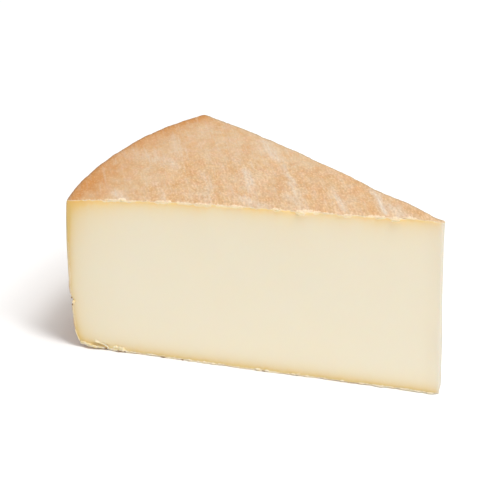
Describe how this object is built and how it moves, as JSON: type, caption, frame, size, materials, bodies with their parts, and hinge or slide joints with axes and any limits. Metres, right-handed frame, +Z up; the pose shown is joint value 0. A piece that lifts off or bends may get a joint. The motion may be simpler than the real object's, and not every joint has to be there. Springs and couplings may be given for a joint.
{
  "type": "washed-rind cheese wedge",
  "caption": "Wedge of firm washed-rind cheese cut from a flat wheel: pale smooth paste on both cut faces, thin dry apricot rind on top, side and underside, standing upright",
  "frame": {"origin": "middle of the underside's bounding rectangle, on the surface that the wedge stands on", "axes": "+Z up; +X along the long front cut towards the tip; the front cut looks towards -Y, and the heel, the wheel's own side, is at -X"},
  "size_m": [0.1542, 0.0951, 0.0772],
  "materials": {
    "cheese": "satin ivory paste on the two cut faces, golden close under the rind, and a matt, grainy apricot-tan rind with paler wipe streaks"
  },
  "bodies": {
    "root": {"cheese_wedge": "cheese"}
  },
  "joints": []
}
